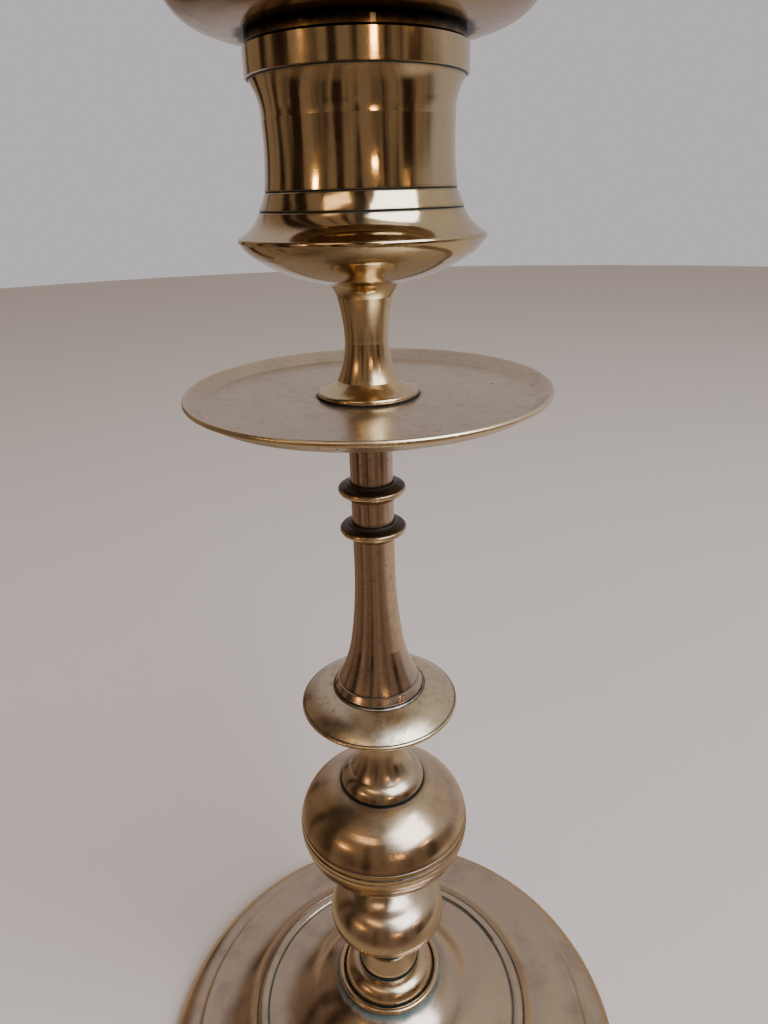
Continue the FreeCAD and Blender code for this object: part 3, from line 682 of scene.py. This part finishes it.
@dataclass
class Fastenings:
    """Washers, nuts and the rod that ties the stem together."""

    # Cut from rolled sheet and never polished: dull yellow-brown.
    washer: AgedMetal = AgedMetal(
        "rolled_brass_dull", bright="a88c5c", toned="7d6340", gloss=0.35, satin=0.5)
    # Drawn rod and nuts: plain grey, browned by old oil.
    steel: AgedMetal = AgedMetal(
        "drawn_steel_dull", bright="8d8a86", toned="6b6762", dull="4b3d33", gloss=0.35, satin=0.5,
        green=0.0)

    def dress(self, bench: Bench) -> None:
        """Dresses the rod and what is on its ends.

        Args:
            bench: the bench that holds the pieces.
        """
        bench.dress("foot_washer", self.washer, rim=0)
        bench.dress("socket_washer", self.washer, rim=0)
        bench.dress("tie_rod", self.steel, rim=0)
        for name in ("foot_nut", "socket_nut"):
            bench.paint(name, self.steel.material(name, [], []))
            log.info("%s: %s", name, self.steel.name)


@dataclass
class LiftOutNozzle:
    """The wide dish with its candle cup, on a plug that drops into the socket."""

    # Spun and softly polished, but left to brown: darker than the socket that it stands in.
    finish: AgedMetal = AgedMetal(
        "spun_brass_soft_polish", bright="a08762", toned="80684d", gloss=0.14, satin=0.24, toning=0.45,
        mottling=0.2, green=0.0)

    def dress(self, bench: Bench) -> None:
        """Dresses the nozzle.

        Args:
            bench: the bench that holds the pieces.
        """
        # groove=7.0 spreads the black tarnish of the dish's hollow corners seven times wider; at the seat
        # under the dish this is painted shade for the dark gap against the socket's mouth
        bench.dress("nozzle_dish", self.finish, groove=7.0)
        for name in ("nozzle_plug", "candle_cup"):
            bench.dress(name, self.finish)


# ---------------------------------------------------------------- stage, light and camera


class Tone(Enum):
    """Colours of the studio's lights."""

    WINDOW = "e6ecff"
    LAMP = "ffd09a"
    BULB = "ffbe78"


@dataclass(frozen=True)
class SoftBox:
    """A rectangular light, placed by its bearing from the object: degrees right of the front, and up.

    Its distance and sides are in metres and its power in watts.
    """

    name: str
    bearing: float
    rise: float
    distance: float
    width: float
    height: float
    power: float
    tone: Tone

    def build(self, target: Vector) -> None:
        """Hangs the light.

        Args:
            target: the point that it is aimed at.
        """
        data = bpy.data.lights.new(self.name, "AREA")
        data.shape = "RECTANGLE"
        data.size = self.width
        data.size_y = self.height
        data.energy = self.power
        data.color = linear(self.tone.value)[:3]
        light = bpy.data.objects.new(self.name, data)
        bpy.context.scene.collection.objects.link(light)
        bearing, rise = math.radians(self.bearing), math.radians(self.rise)
        level = math.cos(rise)
        out = Vector((math.sin(bearing) * level, -math.cos(bearing) * level, math.sin(rise)))
        light.location = target + out * self.distance
        light.rotation_euler = out.to_track_quat("Z", "Y").to_euler()
        light.visible_camera = False


@dataclass(frozen=True)
class Surroundings:
    """What the metal mirrors: a dim room in front, a lit backdrop behind to the right, a pale ceiling.

    The backdrop is placed in degrees, as the lights are. BARS_ROUND and BARS_UP stretch the room's dark
    bars to be tall and narrow, and BARS_EDGE is where they start and end.
    """

    room_light: str = "8a7461"
    room_dark: str = "2c1f18"
    backdrop: str = "bdb2b2"
    ceiling: str = "c9beb2"
    backdrop_bearing: float = 150.0
    backdrop_rise: float = 35.0
    fade: tuple[float, float] = (0.26, 0.62)
    ceiling_lean: float = 0.8
    ceiling_reach: tuple[float, float] = (0.88, 1.1)

    BARS_ROUND = 3.4
    BARS_UP = 0.4
    BARS_EDGE = (0.44, 0.58)

    def colour(self, g: Graph, way: Socket) -> Socket:
        """Adds the nodes for the colour seen along a direction.

        Args:
            g: the graph to add nodes to.
            way: the direction, a unit vector.

        Returns:
            The colour.
        """
        parts = g.add("SeparateXYZ", i0=way)
        bearing = g.math("ARCTAN2", parts.outputs[0], g.math("MULTIPLY", parts.outputs[1], -1.0))
        strip = g.add("CombineXYZ", i0=g.math("MULTIPLY", bearing, self.BARS_ROUND),
                      i1=g.math("MULTIPLY", parts.outputs[2], self.BARS_UP)).outputs[0]
        bars = g.add("TexNoise", {"noise_dimensions": "2D"}, Vector=strip, Scale=1.0, Detail=2.0)
        bar = g.ramp(bars.outputs["Fac"], *self.BARS_EDGE)
        room = g.mix(bar, linear(self.room_light), linear(self.room_dark))
        side, rise = math.radians(self.backdrop_bearing), math.radians(self.backdrop_rise)
        level = math.cos(rise)
        middle = (math.sin(side) * level, -math.cos(side) * level, math.sin(rise))
        facing = g.add("VectorMath", {"operation": "DOT_PRODUCT"}, i0=way, i1=middle).outputs["Value"]
        around = g.mix(g.ramp(facing, *self.fade), room, linear(self.backdrop))
        lit = g.math("MULTIPLY_ADD", parts.outputs[0], self.ceiling_lean, parts.outputs[2])
        return g.mix(g.ramp(lit, *self.ceiling_reach), around, linear(self.ceiling))


@dataclass
class Studio:
    """Pale floor, plain surroundings and soft light.

    Polished metal sees the floor as boards: in reflections only, the floor glows with a painted reflection of
    them, nearer than near_reach in boards_near's colour, and of the surroundings past boards_end; both are
    distances from the axis in metres.
    """

    floor_radius: float = 3.0
    floor_colour: str = "e6dfd6"
    air_colour: str = "c6c1c2"
    surroundings: Surroundings = Surroundings()
    boards: Surroundings = Surroundings(
        room_light="8a7260", room_dark="66503f", backdrop="ccb9a6", ceiling="ccb9a6",
        backdrop_bearing=125.0, backdrop_rise=0.0, fade=(0.1, 0.6))
    boards_near: str = "b39c83"
    near_reach: tuple[float, float] = (0.11, 0.28)
    boards_end: tuple[float, float] = (0.38, 0.62)
    lights: tuple[SoftBox, ...] = (
        SoftBox("window", 47.0, 46.0, 1.5, 1.1, 1.0, 25.0, Tone.WINDOW),
        SoftBox("lamp_shade", -33.0, 48.0, 1.5, 0.62, 0.22, 1.4, Tone.LAMP),
        SoftBox("bulb_left", -54.0, 18.0, 1.5, 0.13, 0.04, 0.9, Tone.BULB),
        SoftBox("bulb_middle", 17.0, 15.5, 1.5, 0.13, 0.05, 0.7, Tone.BULB),
        SoftBox("bulb_right", 55.0, 20.0, 1.5, 0.09, 0.04, 0.5, Tone.BULB),
    )

    FLOOR_SIDES = 96

    def build(self, target: Vector) -> None:
        """Lays the floor, sets the surroundings and hangs the lights.

        Args:
            target: the point that the lights are aimed at.
        """
        self.lay_floor()
        self.set_surroundings()
        for box in self.lights:
            box.build(target)
            log.info("light %s", box.name)

    def lay_floor(self) -> None:
        """Lays a round floor of painted board, matt and pale, which glows in reflections only: a painted
        reflection of the boards and the dim room.
        """
        mesh = bpy.data.meshes.new("floor")
        turn = 2 * math.pi / self.FLOOR_SIDES
        rim = [(self.floor_radius * math.cos(i * turn), self.floor_radius * math.sin(i * turn), 0.0)
               for i in range(self.FLOOR_SIDES)]
        mesh.from_pydata(rim, [], [tuple(range(self.FLOOR_SIDES))])
        floor = bpy.data.objects.new("floor", mesh)
        bpy.context.scene.collection.objects.link(floor)
        material = bpy.data.materials.new("pale_floor_painted_reflection")
        material.use_nodes = True
        g = Graph(material.node_tree)
        position = g.add("NewGeometry").outputs["Position"]
        outward = g.add("VectorMath", {"operation": "NORMALIZE"}, i0=position).outputs["Vector"]
        distance = g.add("VectorMath", {"operation": "LENGTH"}, i0=position).outputs["Value"]
        mirrored = g.mix(g.ramp(distance, *self.near_reach), linear(self.boards_near),
                         self.boards.colour(g, outward))
        mirrored = g.mix(g.ramp(distance, *self.boards_end), mirrored,
                         self.surroundings.colour(g, outward))
        pale = g.add("BsdfPrincipled", Base_Color=linear(self.floor_colour), Roughness=0.7)
        # dim: a glow seen only by glossy rays, a painted reflection of boards and room on the metal, not a
        # lamp
        dim = g.add("Emission", Color=mirrored, Strength=1.0)
        glossy = g.add("LightPath").outputs["Is Glossy Ray"]
        seen = g.add("MixShader", i0=glossy, i1=pale.outputs[0], i2=dim.outputs[0])
        g.add("OutputMaterial", Surface=seen.outputs[0])
        mesh.materials.append(material)

    def set_surroundings(self) -> None:
        """Sets what light comes from all round, and plain pale air where the camera sees past the floor."""
        world = bpy.data.worlds.new("studio_air")
        bpy.context.scene.world = world
        world.use_nodes = True
        g = Graph(world.node_tree)
        around = self.surroundings.colour(g, g.add("TexCoord").outputs["Generated"])
        straight = g.add("LightPath").outputs["Is Camera Ray"]
        seen = g.mix(straight, around, linear(self.air_colour))
        air = g.add("Background", Color=seen, Strength=1.0)
        g.add("OutputWorld", Surface=air.outputs[0])


@dataclass
class View:
    """The camera: a wide lens, close to the stick and looking down on the foot.

    Its place is in metres behind the axis and above the floor, its angles in degrees, its lens in
    millimetres.
    """

    back: float = 168.0 * MM
    up: float = 289.2 * MM
    down_tilt: float = 23.975
    turn: float = 0.969
    lean: float = -1.682
    lens: float = 25.24

    def build(self) -> None:
        """Makes the camera and hands it to the scene."""
        data = bpy.data.cameras.new("camera")
        data.lens = self.lens
        data.sensor_width = 36.0
        data.clip_start = 0.01
        camera = bpy.data.objects.new("camera", data)
        bpy.context.scene.collection.objects.link(camera)
        pitch, yaw, roll = (math.radians(a) for a in (self.down_tilt, self.turn, self.lean))
        level = math.cos(pitch)
        ahead = Vector((math.sin(yaw) * level, math.cos(yaw) * level, -math.sin(pitch)))
        right = ahead.cross(Vector((0, 0, 1))).normalized()
        upward = right.cross(ahead)
        x_axis = right * math.cos(roll) + upward * math.sin(roll)
        y_axis = upward * math.cos(roll) - right * math.sin(roll)
        turn = Matrix((x_axis, y_axis, -ahead)).transposed()
        camera.matrix_world = Matrix.Translation((0.0, -self.back, self.up)) @ turn.to_4x4()
        bpy.context.scene.camera = camera


def main() -> None:
    """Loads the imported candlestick, dresses every piece and sets the stage."""
    logging.basicConfig(level=logging.INFO, format="%(message)s")
    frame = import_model()
    bench = Bench(frame["nodes"])
    bench.survey()
    for part in (Foot(), KnoppedStem(), DripPan(), CandleSocket(), Fastenings(), LiftOutNozzle()):
        part.dress(bench)
    Studio().build(Vector((0.0, 0.0, LIT_HEIGHT)))
    View().build()


if __name__ == "__main__":
    main()
